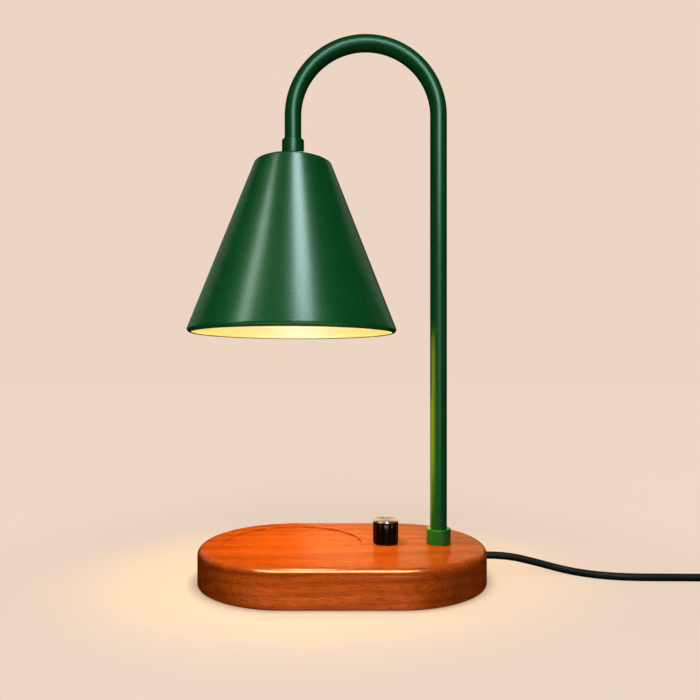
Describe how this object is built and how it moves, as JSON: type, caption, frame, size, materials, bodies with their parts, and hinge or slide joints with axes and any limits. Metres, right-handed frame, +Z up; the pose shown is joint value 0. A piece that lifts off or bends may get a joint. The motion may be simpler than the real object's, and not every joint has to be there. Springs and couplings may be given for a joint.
{
  "type": "candle warmer lamp",
  "caption": "Table lamp that melts a jar candle from above: wooden stadium base with a rotary dimmer, bent tube arm, conical metal shade, twist-lock bulb and a coiled cord with a plug.",
  "frame": {"origin": "middle of the base, on the surface that it stands on", "axes": "+Z up, +X along the base from the shade towards the post, +Y to the back"},
  "size_m": [0.3825, 0.1434, 0.3266],
  "materials": {
    "wood": "satin lacquered, grain along X",
    "green_paint": "fine satin powder coat",
    "galvanised_steel": "zinc plated",
    "zinc_screws": "zinc plated",
    "pad_foam": "matt closed-cell foam",
    "white_ceramic": "unglazed",
    "spring_brass": "rolled",
    "lead_sleeve": "silicone sleeve",
    "pin_metal": "nickel plated",
    "reflector_glass": "faceted reflector",
    "lens_glass": "clear front glass",
    "capsule_glass": "clear quartz",
    "black_knob": "gloss moulded",
    "spun_aluminium": "turned on its face",
    "pot_metal": "plain",
    "board_resin": "resin laminate",
    "pale_nylon": "moulded",
    "choke_wire": "enamelled copper wire",
    "capacitor_case": "moulded",
    "black_resin": "moulded",
    "terminal_plastic": "moulded",
    "black_rubber": "matt",
    "black_cord": "matt vinyl",
    "black_tie": "smooth",
    "black_plug": "moulded vinyl",
    "nickel_brass": "bright"
  },
  "bodies": {
    "base": {"wood_block": "wood", "bottom_cover": "galvanised_steel", "cover_screws": "zinc_screws", "non_slip_pad": "pad_foam", "arm_tube": "green_paint", "base_ferrule": "green_paint", "post_washer": "zinc_screws", "post_nut": "zinc_screws", "shade_collar": "green_paint", "shade": "green_paint", "shade_washer": "zinc_screws", "shade_nut": "zinc_screws", "holder_bracket": "galvanised_steel", "holder_screws": "zinc_screws", "lamp_holder": "white_ceramic", "holder_contacts": "spring_brass", "lamp_leads": "lead_sleeve", "dimmer_pot": "pot_metal", "dimmer_washer": "zinc_screws", "dimmer_nut": "zinc_screws", "dimmer_board": "board_resin", "board_spacers": "pale_nylon", "board_screws": "zinc_screws", "dimmer_choke": "choke_wire", "dimmer_capacitor": "capacitor_case", "dimmer_triac": "black_resin", "terminal_block": "terminal_plastic", "cord_grommet": "black_rubber", "cord_inner_end": "black_cord", "cord_clip": "pale_nylon", "clip_screw": "zinc_screws", "power_cord": "black_cord", "cord_coil": "black_cord", "cord_tie": "black_tie", "plug_lead": "black_cord", "plug_body": "black_plug", "plug_blades": "nickel_brass"},
    "bulb": {"bulb_pins": "pin_metal", "bulb_base": "white_ceramic", "bulb_reflector": "reflector_glass", "bulb_lens": "lens_glass", "bulb_capsule": "capsule_glass"},
    "knob": {"knob_body": "black_knob", "knob_cap": "spun_aluminium", "dimmer_shaft": "pin_metal"}
  },
  "joints": [
    {"name": "knob_turn", "type": "hinge", "parent": "base", "child": "knob", "pos_m": [0.026, 0, 0.028], "axis": [0, 0, 1], "range_deg": [0, 300]},
    {"name": "bulb_twist", "type": "hinge", "parent": "base", "child": "bulb", "pos_m": [-0.0296, 0, 0.2159], "axis": [0, 0, 1], "range_deg": [-20, 0]}
  ]
}
